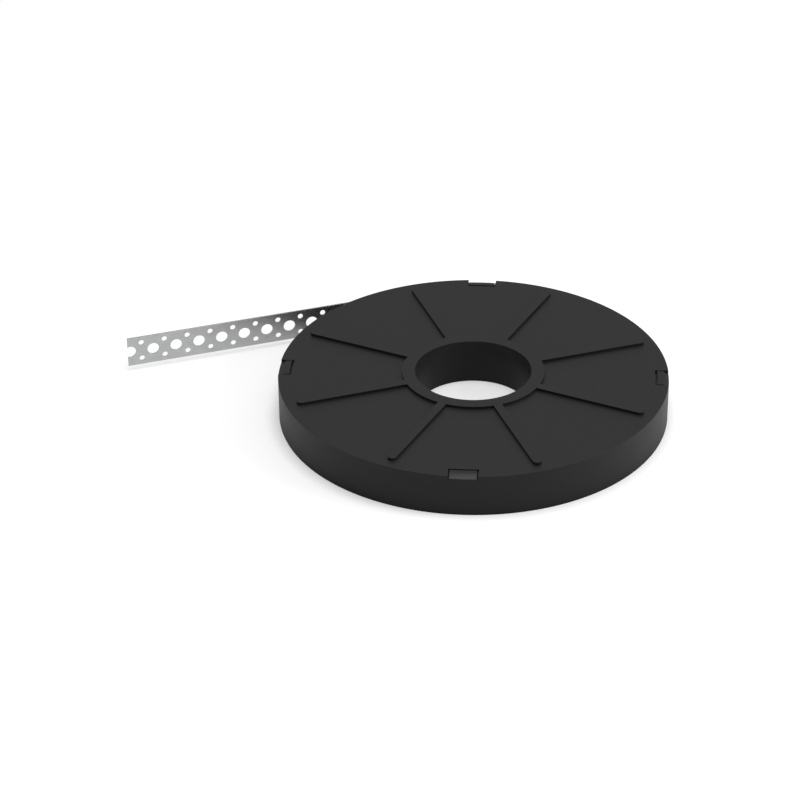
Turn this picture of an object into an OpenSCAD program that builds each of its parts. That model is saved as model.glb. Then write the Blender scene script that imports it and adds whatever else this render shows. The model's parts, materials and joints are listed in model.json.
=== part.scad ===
// Perforated steel strap in a flat round dispenser case.
// The case lies on its underside. The hub axis is Z and the underside is z = 0.
// The free end of the strap leaves the coil on the +Y side and runs towards -X.

/* [Strap] */
// Width of the strap
strap_w = 17; // [12:0.5:30]
// Thickness of the strap
strap_t = 0.8; // [0.5:0.1:1.5]
// Diameter of the large holes on the centre line
big_hole_d = 6.6; // [4:0.1:7]
// Diameter of the small holes in the pairs
small_hole_d = 3; // [1.5:0.1:3.5]
// Distance from one large hole to the next
hole_pitch = 13; // [12:0.5:20]
// Distance between the two holes of a pair, across the strap
pair_spacing = 9.7; // [7:0.1:10]
// Length of the free end, from where it leaves the coil to its cut
tail_l = 165.5; // [60:0.1:250]
// Distance from the centre of the last large hole to the cut
end_cut = 1.4; // [0.5:0.1:2.5]

/* [Coil] */
// Outer diameter of the coil
coil_d = 203.6; // [170:0.2:260]
// Diameter of the open middle of the coil
coil_bore_d = 119; // [90:1:150]
// Radial distance between the grooves that show the turns
turn_pitch = 3.2; // [2.4:0.1:6]
// Depth of those grooves
turn_groove = 0.3; // [0.1:0.05:0.6]
// Amount by which the free end lies inside the outer turn
tail_inset = 0.1; // [0.05:0.05:0.3]

/* [Case] */
// Thickness of the floor
floor_t = 2.8; // [1.5:0.1:5]
// Thickness of the outer wall
wall_t = 2; // [1.2:0.1:4]
// Gap between the coil and the outer wall
coil_gap = 0.2; // [0.1:0.05:0.9]
// Gap between the coil and the lid
lid_gap = 0.3; // [0.1:0.05:0.9]
// Diameter of the hole through the hub, at the floor
hub_bore_d = 60; // [40:0.5:72]
// Amount by which that hole widens from the floor to the lid, on each side
hub_draft = 1; // [0.2:0.1:1.5]
// Thickness of the hub tube under the lid
hub_t = 1; // [0.8:0.1:3]
// Length of the mouth that the strap leaves through, from the tangent point on
mouth_l = 32; // [26:1:38]

/* [Lid] */
// Thickness of the lid
lid_t = 2.7; // [2.2:0.1:4]
// Height of the ribs and of the ring on the lid
rib_h = 1.4; // [0.5:0.1:3]
// Width of one rib
rib_w = 4.7; // [2:0.1:8]
// Number of ribs
rib_count = 8; // [4:4:12]
// Turn of the ribs and the hooks, from the strap's own direction
lid_turn = 0.2; // [-4:0.1:4]
// Distance from the ends of the ribs to the rim
rib_margin = 6; // [3:0.1:12]
// Width of the ring round the hole in the lid
ring_w = 7; // [3:0.1:12]
// Depth of the collar under the lid that centres it on the hub
collar_h = 1.6; // [0.8:0.1:4]
// Thickness of that collar
collar_t = 1.5; // [1:0.1:3]
// Clearance between the collar and the hub
collar_gap = 0.3; // [0.1:0.05:0.6]

/* [Snap hooks] */
// Number of snap hooks
hook_count = 4; // [2:2:4]
// Width of one hook
hook_w = 14; // [8:0.1:20]
// Radial length of the hook's head
hook_l = 6.1; // [5.2:0.1:7]
// Thickness of the hook's head
head_t = 1.3; // [0.8:0.1:1.5]
// Radial length of the hook's neck
neck_l = 3.4; // [2.6:0.1:3.8]
// Gap between a hook and its notch in the lid, on each side
hook_gap = 0.7; // [0.3:0.05:0.9]
// Gap behind a hook, which its head bends into
back_gap = 1.05; // [0.3:0.05:1.5]
// Gap between a hook's head and the ledge that it holds
ledge_gap = 0.2; // [0.1:0.05:0.4]
// Radial width of the chamfer on the outer edge of a hook
hook_chamfer = 3; // [1:0.05:3.2]
// Height of that chamfer
hook_chamfer_h = 1.6; // [1:0.05:2.1]

/* [Hidden] */
$fn = 180;
// Overlap of a cutting shape past the face that it cuts
cut = 1;
coil_r = coil_d / 2;
coil_bore_r = coil_bore_d / 2;
bore_r = hub_bore_d / 2;
lid_bore_r = bore_r + hub_draft;
hub_r = lid_bore_r + hub_t;
wall_inner_r = coil_r + coil_gap;
case_r = wall_inner_r + wall_t;
// The coil lies on the floor, and the lid on the wall and the hub
strap_z = floor_t;
wall_top = strap_z + strap_w + lid_gap;
lid_face = wall_top + lid_t;
ring_r = lid_bore_r + ring_w;
rib_end_r = case_r - rib_margin;
// The free end, between its outer and inner face
tail_outer_y = coil_r - tail_inset;
tail_inner_y = tail_outer_y - strap_t;
// Length over which the free end still lies against the coil
tail_seat = sqrt(coil_r * coil_r - tail_inner_y * tail_inner_y);
last_hole = tail_l - end_cut;
// The hooks lie halfway between two ribs
rib_step = 360 / rib_count;
hook_step = 360 / hook_count;
hook_turn = lid_turn + 1.5 * rib_step;
turn_count = floor((coil_r - coil_bore_r) / turn_pitch);

// Places along the free end for holes of one diameter, from the cut inwards
function hole_places(first, d) = [for (s = first; s > tail_seat + d / 2; s = s - hole_pitch) s];

// One end of the coil's section, from the bore outwards, with a groove for the turns
function coil_end(z, groove) = [
    [coil_bore_r, z],
    for (i = [1 : turn_count - 1])
        let (r = coil_bore_r + i * turn_pitch)
            each [[r - turn_groove, z], [r, z + groove], [r + turn_groove, z]],
    [coil_r, z]
];

function reversed(list) = [for (i = [len(list) - 1 : -1 : 0]) list[i]];

// A block across the rim at each hook, w wide, that cuts a turned section to length
module hook_blocks(w) {
    for (i = [0 : hook_count - 1])
        rotate([0, 0, hook_turn + i * hook_step])
            translate([coil_bore_r, -w / 2, floor_t])
                cube([case_r + 2 * cut - coil_bore_r, w, lid_face + 2 * cut - floor_t]);
}

// The pan: floor, outer wall and hub tube in one turned section.
// The hub widens upwards, as a moulding does, and meets the hole in the lid without a step
module pan() {
    rotate_extrude()
        polygon([
            [bore_r, 0],
            [case_r, 0],
            [case_r, wall_top],
            [wall_inner_r, wall_top],
            [wall_inner_r, floor_t],
            [hub_r, floor_t],
            [hub_r, wall_top],
            [lid_bore_r, wall_top],
            [bore_r, floor_t]
        ]);
}

// A hook's section: the foot in the wall, the neck up through the lid, the head over the ledge
module hooks() {
    intersection() {
        rotate_extrude()
            polygon([
                [wall_inner_r, wall_top - cut],
                [case_r, wall_top - cut],
                [case_r, lid_face - hook_chamfer_h],
                [case_r - hook_chamfer, lid_face],
                [case_r - hook_l, lid_face],
                [case_r - hook_l, lid_face - head_t],
                [case_r - neck_l, lid_face - head_t],
                [case_r - neck_l, wall_top],
                [wall_inner_r, wall_top]
            ]);
        hook_blocks(hook_w);
    }
}

// The gap in the wall that the free end leaves through, closed above by the lid
module mouth() {
    translate([-mouth_l, coil_bore_r, floor_t])
        cube([mouth_l, case_r + cut - coil_bore_r, wall_top - floor_t + cut]);
}

module case_base() {
    color("#2b2c2e")
        union() {
            difference() {
                pan();
                mouth();
            }
            hooks();
        }
}

// A rib lies along X, with a round outer end
module rib() {
    translate([lid_bore_r, -rib_w / 2, lid_face - cut])
        cube([rib_end_r - rib_w / 2 - lid_bore_r, rib_w, rib_h + cut]);
    translate([rib_end_r - rib_w / 2, 0, lid_face - cut])
        cylinder(h = rib_h + cut, d = rib_w);
}

// A ring round the rim of the lid, from radius r outwards and from height z upwards
module rim_ring(r, z) {
    rotate_extrude()
        polygon([
            [r, z],
            [case_r + cut, z],
            [case_r + cut, lid_face + cut],
            [r, lid_face + cut]
        ]);
}

// The notches let the hooks through: wide above for a head, and only as wide as a neck below,
// so that a ledge is left on three sides of the neck
module notches() {
    ledge_top = lid_face - head_t - ledge_gap;
    intersection() {
        rim_ring(case_r - hook_l - back_gap, ledge_top);
        hook_blocks(hook_w + 2 * hook_gap);
    }
    intersection() {
        rim_ring(case_r - neck_l - ledge_gap, wall_top - cut);
        hook_blocks(hook_w + 2 * ledge_gap);
    }
}

module case_lid() {
    collar_r = hub_r + collar_gap;
    color("#303133")
        difference() {
            union() {
                translate([0, 0, wall_top])
                    cylinder(h = lid_t, r = case_r);
                translate([0, 0, wall_top])
                    cylinder(h = lid_t + rib_h, r = ring_r);
                translate([0, 0, wall_top - collar_h])
                    cylinder(h = collar_h + cut, r = collar_r + collar_t);
                for (i = [0 : rib_count - 1])
                    rotate([0, 0, lid_turn + i * rib_step])
                        rib();
            }
            translate([0, 0, wall_top - collar_h - cut])
                cylinder(h = collar_h + cut, r = collar_r);
            cylinder(h = lid_face + rib_h + cut, r = lid_bore_r);
            notches();
        }
}

// The wound part of the strap, turned as one ring with its turns marked on both ends
module coil() {
    rotate_extrude()
        polygon(concat(
            coil_end(strap_z, turn_groove),
            reversed(coil_end(strap_z + strap_w, -turn_groove))
        ));
}

// A hole through the free end, at a distance along it and a height across it
module strap_hole(along, across, d) {
    translate([-along, tail_outer_y + cut, strap_z + strap_w / 2 + across])
        rotate([90, 0, 0])
            cylinder(h = strap_t + 2 * cut, d = d);
}

// The free end: straight band, cut square through its last large hole
module tail() {
    difference() {
        translate([-tail_l, tail_inner_y, strap_z])
            cube([tail_l, strap_t, strap_w]);
        for (s = hole_places(last_hole, big_hole_d))
            strap_hole(s, 0, big_hole_d);
        for (s = hole_places(last_hole - hole_pitch / 2, small_hole_d))
            for (side = [-1, 1])
                strap_hole(s, side * pair_spacing / 2, small_hole_d);
    }
}

module strap() {
    color("#b8bbbe")
        union() {
            coil();
            tail();
        }
}

case_base();
case_lid();
strap();
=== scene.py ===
import json
import math

import bmesh
import bpy
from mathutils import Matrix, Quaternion, Vector


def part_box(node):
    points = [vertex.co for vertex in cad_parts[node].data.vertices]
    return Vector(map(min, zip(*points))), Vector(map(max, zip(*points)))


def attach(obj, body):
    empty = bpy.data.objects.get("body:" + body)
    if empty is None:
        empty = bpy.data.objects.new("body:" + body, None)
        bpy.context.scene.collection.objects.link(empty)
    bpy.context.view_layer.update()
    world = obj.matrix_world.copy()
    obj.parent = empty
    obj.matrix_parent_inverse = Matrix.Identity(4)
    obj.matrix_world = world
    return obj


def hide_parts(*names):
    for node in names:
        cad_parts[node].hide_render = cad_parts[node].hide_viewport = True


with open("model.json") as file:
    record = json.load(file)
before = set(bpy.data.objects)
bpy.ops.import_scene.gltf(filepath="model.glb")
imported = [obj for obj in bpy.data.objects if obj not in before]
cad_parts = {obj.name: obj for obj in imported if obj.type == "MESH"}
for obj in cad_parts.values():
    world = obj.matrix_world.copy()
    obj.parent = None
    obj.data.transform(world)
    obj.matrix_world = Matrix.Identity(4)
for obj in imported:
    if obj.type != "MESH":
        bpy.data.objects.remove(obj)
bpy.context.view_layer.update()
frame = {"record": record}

bl_info = {
    "name": "Perforated strap in its case",
    "version": (1, 0, 0),
    "blender": (4, 5, 0),
    "location": "3D View > Sidebar > Strap Case",
    "description": "Models a coil of perforated steel strap in a round case, and a studio for it",
    "category": "Object",
}

MM = 0.001

# Sizes that the frame gives, in metres
PAN_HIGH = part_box("case_base")[1]
LID_LOW, LID_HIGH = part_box("case_lid")
STRAP_LOW, STRAP_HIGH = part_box("strap")
MOUNTS = {mount["name"]: mount for mount in frame["record"]["mounts"]}
HUB_RADIUS = MOUNTS["hub_bore"]["dims"]["r_mm"] * MM
LARGE_HOLES = MOUNTS["large_holes_a"]["dims"]
SMALL_HOLES = MOUNTS["small_pair_a"]["dims"]
LARGE_HOLES_X, STRAP_FACE_Y, STRAP_MIDDLE_Z = MOUNTS["large_holes_a"]["pos_m"]

# How finely round shapes are divided
CASE_STEPS = 240
LARGE_HOLE_STEPS = 48
SMALL_HOLE_STEPS = 32
HALF_TURN_STEPS = 36
RIB_END_STEPS = 12
ROUND_STEPS = 3
# A cutting shape passes the face that it cuts by this much
PASS = 1 * MM
# Faces that would lie in one plane in a cut are kept this far apart
CLEAR = 0.02 * MM
# Points closer than this are one point
WELD = 0.001 * MM
# Faces that meet at more than this show an edge
SHARP_ANGLE = math.radians(35)
# The lid stays this far above the coil
LID_GAP = 0.3 * MM
# Share of the floor's glow in reflections, with which the lit floor is white there too
MIRRORED_GLOW = 0.4
# Distance from the hub at which that share is reached: nearer by, less glow shows in reflections, a
# painted shade where the case shades the floor
PAINTED_SHADE_END = 0.14
# Share of that glow near the case, where the lamps light the floor, and how far it takes to grow
NEAR_GLOW = 0.5
NEAR, FAR = 0.4, 1.7
# Share of the glow that is left in the hub: painted shade, which darkens the floor there as the hub
# wall's shade would
HUB_GLOW_PAINTED_SHADE = 0.72
# Places of a Mix node's colour sockets
MIX_FACTOR, MIX_LOW, MIX_HIGH, MIX_COLOUR = 0, 6, 7, 2


def length(name, description, default):
    """A length in metres that a user can change."""
    return bpy.props.FloatProperty(
        name=name, description=description, default=default, min=0, unit="LENGTH", precision=5
    )


def colour(name, description, default):
    """A colour that a user can change."""
    return bpy.props.FloatVectorProperty(
        name=name, description=description, default=default, size=3, min=0, max=1, subtype="COLOR"
    )


class CaseSizes(bpy.types.PropertyGroup):
    """Sizes of the pan and the lid of the dispenser case."""

    radius: length("Radius", "Outside radius of the case", PAN_HIGH.x)
    bore_radius: length("Bore radius", "Radius of the hole through the hub, at the floor", HUB_RADIUS)
    hub_draft: length("Hub draft", "Amount by which that hole widens up to the lid", 1 * MM)
    wall: length("Wall", "Thickness of the outer wall", 2 * MM)
    hub_wall: length("Hub wall", "Thickness of the hub tube under the lid", 1 * MM)
    floor: length("Floor", "Thickness of the floor", STRAP_LOW.z)
    wall_top: length("Wall top", "Height at which the lid lies on the wall", STRAP_HIGH.z + LID_GAP)
    lid_face: length("Lid face", "Height of the flat face of the lid", PAN_HIGH.z)
    rib_top: length("Rib top", "Height of the ribs and of the ring", LID_HIGH.z)
    mouth: length("Mouth", "Length of the gap that the strap leaves through", 32 * MM)
    ring: length("Ring", "Width of the ring round the hole in the lid", 7 * MM)
    rib: length("Rib", "Width of one rib", 4.7 * MM)
    rib_margin: length("Rib margin", "Distance from the rib ends to the rim", 6 * MM)
    collar_low: length("Collar foot", "Height of the lower end of the lid's collar", LID_LOW.z)
    collar_wall: length("Collar", "Thickness of the lid's collar", 1.5 * MM)
    collar_gap: length("Collar gap", "Clearance between the collar and the hub", 0.3 * MM)
    hook: length("Hook", "Width of one snap hook", 14 * MM)
    hook_reach: length("Hook reach", "Radial length of a hook's head", 6.1 * MM)
    hook_neck: length("Hook neck", "Radial length of a hook's neck", 3.4 * MM)
    hook_head: length("Hook head", "Thickness of a hook's head", 1.3 * MM)
    hook_slope: length("Hook slope", "Radial width of the slope on a hook's outer edge", 3 * MM)
    hook_slope_height: length("Slope height", "Height of that slope", 1.6 * MM)
    hook_gap: length("Hook gap", "Gap between a hook and its notch, on each side", 0.7 * MM)
    back_gap: length("Back gap", "Gap behind a hook, which its head bends into", 1.05 * MM)
    ledge_gap: length("Ledge gap", "Gap between a hook's head and its ledge", 0.2 * MM)
    edge: length("Edge", "Radius of the moulded edges", 0.12 * MM)
    rib_count: bpy.props.IntProperty(name="Ribs", description="Number of ribs", default=8, min=2)
    hook_count: bpy.props.IntProperty(name="Hooks", description="Number of hooks", default=4, min=1)
    turn: bpy.props.FloatProperty(
        name="Turn", description="Turn of the first rib", default=math.radians(0.2), subtype="ANGLE"
    )


class StrapSizes(bpy.types.PropertyGroup):
    """Sizes of the perforated strap and of its coil."""

    thickness: length("Thickness", "Thickness of the strap", 0.8 * MM)
    large_radius: length("Large holes", "Radius of the large holes", LARGE_HOLES["hole_r_mm"] * MM)
    small_radius: length("Small holes", "Radius of the small holes", SMALL_HOLES["hole_r_mm"] * MM)
    pitch: length("Pitch", "Distance between large holes", LARGE_HOLES["spacing_x_mm"] * MM)
    pair: length("Pair", "Distance between the holes of a pair", SMALL_HOLES["spacing_y_mm"] * MM)
    slit_edge: length("Slit edge", "Rounding of the strap's long edges", 0.04 * MM)
    punched_edge: length("Punched edge", "Rounding of the rims of the holes", 0.06 * MM)
    turn_pitch: length("Turn pitch", "Radial distance between two turns", 0.84 * MM)
    coil_bore: length("Coil bore", "Radius of the open middle of the coil", 59.5 * MM)


class CaseLooks(bpy.types.PropertyGroup):
    """Colours of the finishes and of the studio."""

    plastic: colour("Plastic", "Moulded black plastic", (0.006, 0.006, 0.0061))
    steel: colour("Steel", "Galvanised steel", (0.512, 0.516, 0.52))
    studio_floor: colour("Floor", "Studio floor", (0.66, 0.66, 0.66))


class StudioSetup(bpy.types.PropertyGroup):
    """Places of the camera and strength of the lights."""

    camera_place: bpy.props.FloatVectorProperty(
        name="Camera", description="Place of the camera", default=(-0.41955, -1.17886, 0.75158),
        subtype="TRANSLATION", unit="LENGTH",
    )
    camera_aim: bpy.props.FloatVectorProperty(
        name="Aim", description="Point on the floor in the middle of the view",
        default=(-0.03414, 0.02182, 0), subtype="TRANSLATION", unit="LENGTH",
    )
    camera_roll: bpy.props.FloatProperty(
        name="Roll", description="Turn of the camera about its own axis",
        default=math.radians(-0.6393), subtype="ANGLE",
    )
    lens: bpy.props.FloatProperty(
        name="Lens", description="Focal length on a 36 mm sensor", default=122.219, unit="CAMERA"
    )
    sky: bpy.props.FloatProperty(
        name="Sky", description="Strength of the even light from all round", default=0.6, min=0
    )
    overhead: bpy.props.FloatProperty(
        name="Overhead", description="Power of the softbox overhead, in watts", default=7.4, min=0
    )
    side: bpy.props.FloatProperty(
        name="Side", description="Power of the softbox on the right, in watts", default=6, min=0
    )
    glow: bpy.props.FloatProperty(
        name="Glow", description="White that the floor adds far from the case", default=0.6, min=0
    )


class Field:
    """A socket that takes part in sums: an expression on fields adds its Math nodes."""

    def __init__(self, nodes, socket):
        self.nodes = nodes
        self.socket = socket

    def math(self, operation, first, second):
        """Add a Math node on two fields or plain values."""
        return self.nodes.add("ShaderNodeMath", {"operation": operation}, {0: first, 1: second})

    def __add__(self, other):
        return self.math("ADD", self, other)

    def __radd__(self, other):
        return self.math("ADD", other, self)

    def __sub__(self, other):
        return self.math("SUBTRACT", self, other)

    def __rsub__(self, other):
        return self.math("SUBTRACT", other, self)

    def __mul__(self, other):
        return self.math("MULTIPLY", self, other)

    def __rmul__(self, other):
        return self.math("MULTIPLY", other, self)


class Nodes:
    """A node tree under construction, with one way to add any node."""

    def __init__(self, tree):
        self.tree = tree

    def add(self, kind, settings, sockets, output=0):
        """Add a node: its settings come first, then the values or links of its sockets."""
        made = self.tree.nodes.new(kind)
        for name, value in settings.items():
            setattr(made, name, value)
        self.feed(made, sockets)
        return Field(self, made.outputs[output])

    def feed(self, node, sockets):
        """Link fields to a node's sockets, and set plain values on the others."""
        for name, value in sockets.items():
            if isinstance(value, Field):
                self.tree.links.new(value.socket, node.inputs[name])
            else:
                node.inputs[name].default_value = value

    def noise(self, place, size, detail):
        """Soft noise from 0 to 1, with patches of about the given size in metres."""
        return self.add("ShaderNodeTexNoise", {}, {"Vector": place, "Scale": 1 / size, "Detail": detail})

    def stretch(self, place, scale):
        """Coordinates scaled along each axis, so that a pattern runs out in one direction."""
        return self.add("ShaderNodeMapping", {}, {"Vector": place, "Scale": scale})

    def blend(self, mask, low, high):
        """A colour between two colours, by a mask from 0 to 1."""
        sockets = {MIX_FACTOR: mask, MIX_LOW: low, MIX_HIGH: high}
        return self.add("ShaderNodeMix", {"data_type": "RGBA"}, sockets, MIX_COLOUR)

    def growth(self, value, start, near, far):
        """A share that grows with a value: from its start at the near end to 1 at the far one."""
        sockets = {"Value": value, "From Min": near, "From Max": far, "To Min": start, "To Max": 1}
        return self.add("ShaderNodeMapRange", {}, sockets)

    def bump(self, height, strength, depth):
        """Normals of a surface with a relief of the given depth in metres."""
        sockets = {"Height": height, "Strength": strength, "Distance": depth}
        return self.add("ShaderNodeBump", {}, sockets)


def new_material(name):
    """A material with a plain surface shader, and its nodes."""
    material = bpy.data.materials.new(name)
    material.use_nodes = True
    return material, Nodes(material.node_tree), material.node_tree.nodes["Principled BSDF"]


def shade_of(base, factor):
    """A darker or lighter shade of a colour, as a node's socket takes it."""
    return [channel * factor for channel in base] + [1]


def moulded_plastic(base):
    """Satin black plastic: a fine moulded grain, faint cloudiness and a slightly uneven gloss."""
    material, nodes, surface = new_material("moulded_black_plastic")
    place = nodes.add("ShaderNodeTexCoord", {}, {}, "Object")
    grain = nodes.noise(place, 0.45 * MM, 2)
    cloud = nodes.noise(place, 18 * MM, 3)
    nodes.feed(surface, {
        "Base Color": nodes.blend(0.6 * cloud + 0.4 * grain, shade_of(base, 0.75), shade_of(base, 1.25)),
        "Roughness": 0.4 + 0.07 * cloud + 0.05 * grain,
        "Normal": nodes.bump(grain, 0.35, 0.03 * MM),
        "Specular IOR Level": 0.25,
    })
    return material


def galvanised_steel(base):
    """Zinc-coated steel strip: flat spangles, fine lines along the strip and a soft sheen."""
    material, nodes, surface = new_material("galvanised_steel")
    place = nodes.add("ShaderNodeTexCoord", {}, {}, "Object")
    spangle = nodes.add("ShaderNodeTexVoronoi", {}, {"Vector": place, "Scale": 1 / (5 * MM)}, "Color")
    spangle = nodes.add("ShaderNodeSeparateColor", {}, {"Color": spangle})
    lines = nodes.noise(nodes.stretch(place, (0.04, 1, 1)), 0.5 * MM, 3)
    stain = nodes.noise(place, 22 * MM, 3)
    tone = 0.35 * spangle + 0.35 * lines + 0.3 * stain
    # Strip that is rolled lengthwise spreads reflections across its width, a quarter turn from its run
    nodes.feed(surface, {
        "Base Color": nodes.blend(tone, shade_of(base, 0.9), shade_of(base, 1.1)),
        "Roughness": 0.225 + 0.02 * lines,
        "Normal": nodes.bump(lines, 0.1, 0.01 * MM),
        "Metallic": 1,
        "Anisotropic": 0.95,
        "Anisotropic Rotation": 0.25,
    })
    return material


def white_floor(base, glow):
    """Pale matt floor with a white glow in views and reflections, which keeps the case's shadow. The
    glow is weaker in the hub and, in reflections, near the case: painted shade.
    """
    material, nodes, surface = new_material("studio_floor")
    rays = ("Is Camera Ray", "Is Glossy Ray", "Is Transmission Ray")
    view, glossy, clear = (nodes.add("ShaderNodeLightPath", {}, {}, ray) for ray in rays)
    place = nodes.add("ShaderNodeTexCoord", {}, {}, "Object")
    away = nodes.add("ShaderNodeVectorMath", {"operation": "LENGTH"}, {0: place}, "Value")
    # Less glow near the case, where the lamps light the floor, and less again from the rim in to the
    # hub: painted shade under the case
    glow_share_with_painted_hub_shade = nodes.growth(away, NEAR_GLOW, NEAR, FAR) * nodes.growth(away, HUB_GLOW_PAINTED_SHADE, HUB_RADIUS, PAN_HIGH.x)
    # In reflections the glow fades out towards the case: painted shade on the floor near it
    mirrored_glow_with_painted_shade = MIRRORED_GLOW * (glossy + clear) * nodes.growth(away, 0, PAN_HIGH.x, PAINTED_SHADE_END)
    glow_mask_with_painted_shade = (view + mirrored_glow_with_painted_shade) * glow_share_with_painted_hub_shade
    nodes.feed(surface, {
        "Base Color": shade_of(base, 1),
        "Roughness": 1,
        "Specular IOR Level": 0,
        "Emission Color": nodes.blend(glow_mask_with_painted_shade, (0, 0, 0, 1), (1, 1, 1, 1)),
        "Emission Strength": glow,
    })
    return material


def start_fresh():
    """Leave edit mode and clear the selection, so that the next tool acts on its own piece alone."""
    if bpy.context.object and bpy.context.object.mode != "OBJECT":
        bpy.ops.object.mode_set(mode="OBJECT")
    bpy.ops.object.select_all(action="DESELECT")


def select_only(*pieces):
    """Select these pieces, with the first as the active one."""
    start_fresh()
    for piece in pieces:
        piece.select_set(True)
    bpy.context.view_layer.objects.active = pieces[0]


def set_place():
    """Put a new primitive's place, turn and size into its mesh."""
    bpy.ops.object.transform_apply(location=True, rotation=True, scale=True)
    return bpy.context.object


def edit(piece):
    """Open a piece in edit mode with all of it selected."""
    select_only(piece)
    bpy.ops.object.mode_set(mode="EDIT")
    bpy.ops.mesh.select_all(action="SELECT")


def close_edit():
    """Merge doubles, point the faces outwards and leave edit mode."""
    bpy.ops.mesh.select_all(action="SELECT")
    bpy.ops.mesh.remove_doubles(threshold=WELD)
    bpy.ops.mesh.normals_make_consistent(inside=False)
    bpy.ops.object.mode_set(mode="OBJECT")


def pick_edges(piece, wanted):
    """Select in edit mode the edges that pass a test, and nothing else."""
    bpy.ops.mesh.select_mode(type="EDGE")
    bpy.ops.mesh.select_all(action="DESELECT")
    mesh = bmesh.from_edit_mesh(piece.data)
    for line in mesh.edges:
        line.select_set(wanted(line))
    bmesh.update_edit_mesh(piece.data)


def pick_faces(piece, wanted):
    """Select in edit mode the faces that pass a test, and nothing else."""
    bpy.ops.mesh.select_mode(type="FACE")
    bpy.ops.mesh.select_all(action="DESELECT")
    mesh = bmesh.from_edit_mesh(piece.data)
    for face in mesh.faces:
        face.select_set(wanted(face))
    bmesh.update_edit_mesh(piece.data)


def middle(line):
    """The midpoint of an edge."""
    return (line.verts[0].co + line.verts[1].co) / 2


def is_sharp(line):
    """Whether two faces meet at an edge at a clear outward angle."""
    return len(line.link_faces) == 2 and line.is_convex and line.calc_face_angle() > SHARP_ANGLE


def turned(name, section, turn):
    """Turn a closed section, a list of radius and height, about the axis of the hub.

    Its corners lie half a step to each side of the given turn, so that cuts there miss them.
    """
    start_fresh()
    radius, height = section[0]
    bpy.ops.mesh.primitive_circle_add(
        vertices=CASE_STEPS, radius=radius, location=(0, 0, height),
        rotation=(0, 0, turn + math.pi / CASE_STEPS),
    )
    piece = set_place()
    piece.name = name
    edit(piece)
    for (radius, height), (next_radius, next_height) in zip(section, section[1:] + section[:1]):
        rise = (0, 0, next_height - height)
        bpy.ops.mesh.extrude_region_move(TRANSFORM_OT_translate={"value": rise})
        spread = next_radius / radius
        bpy.ops.transform.resize(value=(spread, spread, 1), center_override=(0, 0, next_height))
    close_edit()
    return piece


def block(low, high):
    """A block between two corners."""
    start_fresh()
    low, high = Vector(low), Vector(high)
    bpy.ops.mesh.primitive_cube_add(size=1, location=(low + high) / 2, scale=high - low)
    return set_place()


def joined(pieces):
    """Join pieces into the first one."""
    select_only(*pieces)
    bpy.ops.object.join()
    return bpy.context.object


def copies_round(piece, count, first_angle):
    """Copies of a piece round the hub, each with its own mesh, joined as one."""
    copies = []
    for step in range(count):
        select_only(piece)
        bpy.ops.object.duplicate()
        bpy.context.object.rotation_euler.z = first_angle + step * math.tau / count
        copies.append(set_place())
    bpy.data.objects.remove(piece)
    return joined(copies)


def combine(piece, tool, operation):
    """Join a tool to a piece, cut it away or keep what both share, and use the tool up."""
    select_only(piece)
    bpy.ops.object.modifier_add(type="BOOLEAN")
    modifier = piece.modifiers[-1]
    modifier.operation = operation
    modifier.solver = "EXACT"
    modifier.object = tool
    bpy.ops.object.modifier_apply(modifier=modifier.name)
    bpy.data.objects.remove(tool)
    return piece


def round_edges(piece, wanted, radius):
    """Round the edges that pass a test."""
    edit(piece)
    bpy.ops.mesh.remove_doubles(threshold=WELD)
    pick_edges(piece, wanted)
    bpy.ops.mesh.bevel(offset=radius, segments=ROUND_STEPS, profile=0.5, clamp_overlap=False)
    close_edit()


def finish_piece(piece, name, material, node):
    """Name a piece, give it its finish and smooth shading, and put it in place of its CAD node."""
    select_only(piece)
    piece.name = name
    piece.data.materials.clear()
    piece.data.materials.append(material)
    bpy.ops.object.shade_smooth_by_angle(angle=SHARP_ANGLE)
    bpy.ops.object.modifier_add(type="WEIGHTED_NORMAL")
    weighted = piece.modifiers[-1]
    weighted.keep_sharp = True
    bpy.ops.object.modifier_apply(modifier=weighted.name)
    if not piece.data.polygons:
        raise RuntimeError(f"{name} has no faces")
    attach(piece, "root")
    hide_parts(node)


def hook_blocks(case, width):
    """Blocks across the rim at the hooks, halfway between two ribs."""
    low = (case.radius / 2, -width / 2, case.wall_top - 2 * PASS)
    high = (case.radius + 2 * PASS, width / 2, case.lid_face + 2 * PASS)
    halfway = case.turn + 1.5 * math.tau / case.rib_count
    return copies_round(block(low, high), case.hook_count, halfway)


def rim_ring(case, reach, low):
    """A ring round the rim that cuts the lid, with a reach inwards and its lower end."""
    inner, outer = case.radius - reach, case.radius + PASS
    high = case.lid_face + PASS
    return turned("rim_ring", [(inner, low), (outer, low), (outer, high), (inner, high)], case.turn)


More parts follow.
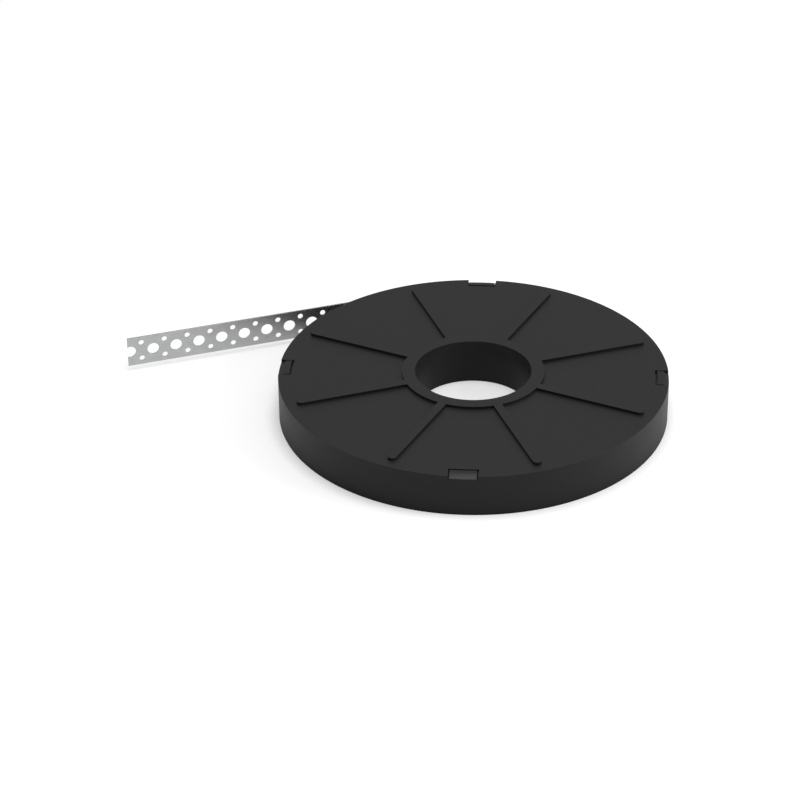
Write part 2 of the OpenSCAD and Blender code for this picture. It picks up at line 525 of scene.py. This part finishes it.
class STRAPCASE_OT_pan(bpy.types.Operator):
    """Model the pan: floor, outer wall with its mouth, hub tube and four snap hooks"""

    bl_idname = "strapcase.pan"
    bl_label = "Pan"

    def execute(self, context):
        case = context.scene.strap_case
        inner = case.radius - case.wall
        hole = case.bore_radius + case.hub_draft
        hub = hole + case.hub_wall
        head = case.radius - case.hook_reach
        neck = case.radius - case.hook_neck
        under_neck = case.wall_top + CLEAR
        pan = turned("pan", [
            (case.bore_radius, 0),
            (case.radius, 0),
            (case.radius, case.lid_face - case.hook_slope_height),
            (case.radius - case.hook_slope, case.lid_face),
            (head, case.lid_face),
            (head, case.lid_face - case.hook_head),
            (neck, case.lid_face - case.hook_head),
            (neck, under_neck),
            (inner, under_neck),
            (inner, case.floor),
            (hub, case.floor),
            (hub, case.wall_top),
            (hole, case.wall_top),
            (case.bore_radius, case.floor),
        ], case.turn)
        gaps = rim_ring(case, case.hook_reach + PASS, case.wall_top)
        combine(gaps, hook_blocks(case, case.hook), "DIFFERENCE")
        combine(pan, gaps, "DIFFERENCE")
        mouth_low = (-case.mouth, inner / 2, case.floor + CLEAR)
        mouth_high = (0, case.radius + PASS, case.wall_top + PASS)
        combine(pan, block(mouth_low, mouth_high), "DIFFERENCE")
        round_edges(pan, lambda line: self.is_moulded(line, case), case.edge)
        plastic = moulded_plastic(context.scene.strap_looks.plastic)
        finish_piece(pan, "pan", plastic, "case_base")
        return {"FINISHED"}

    @staticmethod
    def is_moulded(line, case):
        """Whether an edge is rounded: a sharp one, away from the closed seam under the lid."""
        return is_sharp(line) and abs(middle(line).z - case.wall_top) > 2 * CLEAR


class STRAPCASE_OT_lid(bpy.types.Operator):
    """Model the lid: disc, raised ring and ribs, notches for the hooks and the collar under it"""

    bl_idname = "strapcase.lid"
    bl_label = "Lid"

    def execute(self, context):
        case = context.scene.strap_case
        hole = case.bore_radius + case.hub_draft
        collar = hole + case.hub_wall + case.collar_gap
        ring = hole + case.ring
        lid = turned("lid", [
            (hole, case.wall_top),
            (collar, case.wall_top),
            (collar, case.collar_low),
            (collar + case.collar_wall, case.collar_low),
            (collar + case.collar_wall, case.wall_top),
            (case.radius, case.wall_top),
            (case.radius, case.lid_face),
            (ring, case.lid_face),
            (ring, case.rib_top),
            (hole, case.rib_top),
        ], case.turn)
        ribs = copies_round(self.rib(case), case.rib_count, case.turn)
        combine(lid, ribs, "UNION")
        for notch in self.notches(case):
            combine(lid, notch, "DIFFERENCE")
        round_edges(lid, lambda line: self.is_moulded(line, case), case.edge)
        plastic = moulded_plastic(context.scene.strap_looks.plastic)
        finish_piece(lid, "lid", plastic, "case_lid")
        return {"FINISHED"}

    @staticmethod
    def is_moulded(line, case):
        """Whether an edge is rounded: a sharp one above the seam, and not within the ring's flat top."""
        spot = middle(line)
        from_hole = math.hypot(spot.x, spot.y) - case.bore_radius - case.hub_draft
        in_top = spot.z > case.rib_top - CLEAR and PASS < from_hole < case.ring - PASS
        return is_sharp(line) and spot.z > case.wall_top + CLEAR and not in_top

    @staticmethod
    def rib(case):
        """One rib along X, from the middle of the ring to its round outer end."""
        end = case.radius - case.rib_margin
        low = (case.bore_radius + case.hub_draft + case.ring / 2, -case.rib / 2, case.lid_face - PASS)
        rib = block(low, (end, case.rib / 2, case.rib_top))
        edit(rib)
        pick_edges(rib, lambda line: all(point.co.x > end - WELD for point in line.verts)
                   and abs(line.verts[0].co.z - line.verts[1].co.z) > WELD)
        bpy.ops.mesh.bevel(
            offset=case.rib / 2, segments=RIB_END_STEPS, profile=0.5, clamp_overlap=False
        )
        close_edit()
        return rib

    @staticmethod
    def notches(case):
        """The notches in the rim: wide above for the heads, and only as wide as the necks below."""
        ledge = case.lid_face - case.hook_head - case.ledge_gap
        heads = rim_ring(case, case.hook_reach + case.back_gap, ledge)
        combine(heads, hook_blocks(case, case.hook + 2 * case.hook_gap), "INTERSECT")
        necks = rim_ring(case, case.hook_neck + case.ledge_gap, case.wall_top - PASS)
        combine(necks, hook_blocks(case, case.hook + 2 * case.ledge_gap), "INTERSECT")
        return heads, necks


class STRAPCASE_OT_strap(bpy.types.Operator):
    """Model the strap as one strip: the free end with its holes, then every turn of the coil"""

    bl_idname = "strapcase.strap"
    bl_label = "Strap"

    def execute(self, context):
        sizes = context.scene.strap_sizes
        strap = self.free_end(sizes)
        centres = self.hole_centres(sizes)
        combine(strap, self.punches(sizes, centres), "DIFFERENCE")
        round_edges(strap, lambda line: self.is_rim(line, sizes, centres), sizes.punched_edge)
        self.wind(strap, sizes)
        steel = galvanised_steel(context.scene.strap_looks.steel)
        finish_piece(strap, "perforated_strap", steel, "strap")
        return {"FINISHED"}

    @staticmethod
    def free_end(sizes):
        """The straight strip, from its cut to where it meets the coil, with rounded long edges."""
        low = (STRAP_LOW.x, STRAP_FACE_Y - sizes.thickness, STRAP_LOW.z)
        strip = block(low, (0, STRAP_FACE_Y, STRAP_HIGH.z))
        edit(strip)
        pick_edges(strip, lambda line: abs(line.verts[0].co.x - line.verts[1].co.x) > PASS)
        bpy.ops.mesh.bevel(offset=sizes.slit_edge, segments=1)
        close_edit()
        return strip

    @staticmethod
    def hole_centres(sizes):
        """Place along the strip, height and radius of each hole, from the cut to the coil."""
        holes = []
        # The mount is midway between two large holes, and the hole before them is cut through
        cut_hole = LARGE_HOLES_X - 1.5 * sizes.pitch
        seat = math.sqrt(STRAP_HIGH.x ** 2 - (STRAP_FACE_Y - sizes.thickness) ** 2)
        for step in range(int(-cut_hole / sizes.pitch)):
            along = cut_hole + step * sizes.pitch
            holes.append((along, STRAP_MIDDLE_Z, sizes.large_radius))
            for side in (-1, 1):
                across = STRAP_MIDDLE_Z + side * sizes.pair / 2
                holes.append((along + sizes.pitch / 2, across, sizes.small_radius))
        return [hole for hole in holes if hole[0] + hole[2] < -seat]

    @staticmethod
    def punches(sizes, holes):
        """One round punch for each hole, joined."""
        pins = []
        for along, across, radius in holes:
            start_fresh()
            steps = LARGE_HOLE_STEPS if radius > sizes.small_radius else SMALL_HOLE_STEPS
            bpy.ops.mesh.primitive_cylinder_add(
                vertices=steps, radius=radius, depth=4 * PASS,
                location=(along, STRAP_FACE_Y, across), rotation=(math.pi / 2, 0, 0),
            )
            pins.append(set_place())
        return joined(pins)

    @staticmethod
    def is_rim(line, sizes, holes):
        """Whether an edge lies on the rim of a hole."""
        spot = middle(line)
        near = any(math.hypot(spot.x - along, spot.z - across) < radius + WELD
                   for along, across, radius in holes)
        return near and is_sharp(line) and spot.x > STRAP_LOW.x + sizes.slit_edge

    @staticmethod
    def wind(strap, sizes):
        """Spin the inner end round the hub by half-turns, each nearer to it by half a pitch."""
        step_in = sizes.turn_pitch / 2
        outer = STRAP_FACE_Y - sizes.thickness / 2
        half_turns = int((outer - sizes.thickness / 2 - sizes.coil_bore) / step_in)
        edit(strap)
        pick_faces(strap, lambda face: face.calc_center_median().x > -WELD)
        bpy.ops.mesh.separate(type="SELECTED")
        section = next(piece for piece in bpy.context.selected_objects if piece is not strap)
        edit(section)
        bpy.ops.mesh.delete(type="ONLY_FACE")
        strip = [strap]
        for turn in range(half_turns):
            radius = outer - turn * step_in
            centre = -step_in * (turn % 2)
            start = centre + radius * (-1) ** turn
            select_only(section)
            bpy.ops.object.duplicate()
            bpy.context.object.location.y = start - outer
            piece = set_place()
            edit(piece)
            bpy.ops.mesh.spin(
                steps=HALF_TURN_STEPS, angle=math.pi, center=(0, centre, 0), axis=(0, 0, 1),
                use_auto_merge=False,
            )
            bpy.ops.object.mode_set(mode="OBJECT")
            strip.append(piece)
        bpy.data.objects.remove(section)
        edit(joined(strip))
        bpy.ops.mesh.remove_doubles(threshold=WELD)
        pick_edges(strap, lambda line: len(line.link_faces) == 1)
        bpy.ops.mesh.edge_face_add()
        close_edit()


class STRAPCASE_OT_stage(bpy.types.Operator):
    """Set up the studio: a pale floor, soft light from all round, two softboxes and the camera"""

    bl_idname = "strapcase.stage"
    bl_label = "Studio"

    FLOOR_SIZE = 30
    OVERHEAD_PLACE = (0.04, 0.01, 1.17)
    OVERHEAD_SIZE = 0.5
    SIDE_PLACE = (0.85, -0.55, 0.45)
    SIDE_SIZE = 0.5

    def execute(self, context):
        setup = context.scene.strap_studio
        self.floor(context.scene.strap_looks.studio_floor, setup)
        self.light(context.scene, setup)
        self.camera(context.scene, setup)
        context.scene.view_settings.view_transform = "Standard"
        return {"FINISHED"}

    def floor(self, base, setup):
        """A wide level floor under the case."""
        start_fresh()
        bpy.ops.mesh.primitive_plane_add(size=self.FLOOR_SIZE)
        floor = bpy.context.object
        floor.name = "studio_floor"
        floor.data.materials.append(white_floor(base, setup.glow))

    def light(self, scene, setup):
        """An even white sky, a softbox overhead and one on the right."""
        scene.world = bpy.data.worlds.new("studio_sky")
        scene.world.use_nodes = True
        sky = scene.world.node_tree.nodes["Background"]
        Nodes(scene.world.node_tree).feed(sky, {"Color": (1, 1, 1, 1), "Strength": setup.sky})
        self.softbox("overhead_softbox", self.OVERHEAD_PLACE, self.OVERHEAD_SIZE, setup.overhead)
        self.softbox("side_softbox", self.SIDE_PLACE, self.SIDE_SIZE, setup.side)

    @staticmethod
    def softbox(name, place, size, power):
        """A square lamp that faces the case."""
        turn = (-Vector(place)).to_track_quat("-Z", "Y")
        bpy.ops.object.light_add(type="AREA", location=place, rotation=turn.to_euler())
        lamp = bpy.context.object
        lamp.name = name
        lamp.data.size = size
        lamp.data.energy = power

    def camera(self, scene, setup):
        """The photo's own view of the case."""
        place = Vector(setup.camera_place)
        look = (Vector(setup.camera_aim) - place).to_track_quat("-Z", "Y")
        turn = look @ Quaternion((0, 0, 1), setup.camera_roll)
        bpy.ops.object.camera_add(location=place, rotation=turn.to_euler())
        scene.camera = bpy.context.object
        scene.camera.name = "studio_camera"
        scene.camera.data.lens = setup.lens


class STRAPCASE_PT_tools(bpy.types.Panel):
    """The pieces of the strap case, each with its own button"""

    bl_idname = "STRAPCASE_PT_tools"
    bl_label = "Strap Case"
    bl_space_type = "VIEW_3D"
    bl_region_type = "UI"
    bl_category = "Strap Case"

    def draw(self, context):
        for operator in OPERATORS:
            self.layout.operator(operator.bl_idname)


OPERATORS = (STRAPCASE_OT_pan, STRAPCASE_OT_lid, STRAPCASE_OT_strap, STRAPCASE_OT_stage)
SETTINGS = {
    "strap_case": CaseSizes,
    "strap_sizes": StrapSizes,
    "strap_looks": CaseLooks,
    "strap_studio": StudioSetup,
}


def register():
    for group in SETTINGS.values():
        bpy.utils.register_class(group)
    for tool in (*OPERATORS, STRAPCASE_PT_tools):
        bpy.utils.register_class(tool)
    for name, group in SETTINGS.items():
        setattr(bpy.types.Scene, name, bpy.props.PointerProperty(type=group))


def unregister():
    for name in SETTINGS:
        delattr(bpy.types.Scene, name)
    for tool in (STRAPCASE_PT_tools, *reversed(OPERATORS)):
        bpy.utils.unregister_class(tool)
    for group in reversed(SETTINGS.values()):
        bpy.utils.unregister_class(group)


def main():
    register()
    bpy.ops.strapcase.pan()
    bpy.ops.strapcase.lid()
    bpy.ops.strapcase.strap()
    bpy.ops.strapcase.stage()


if __name__ == "__main__":
    main()
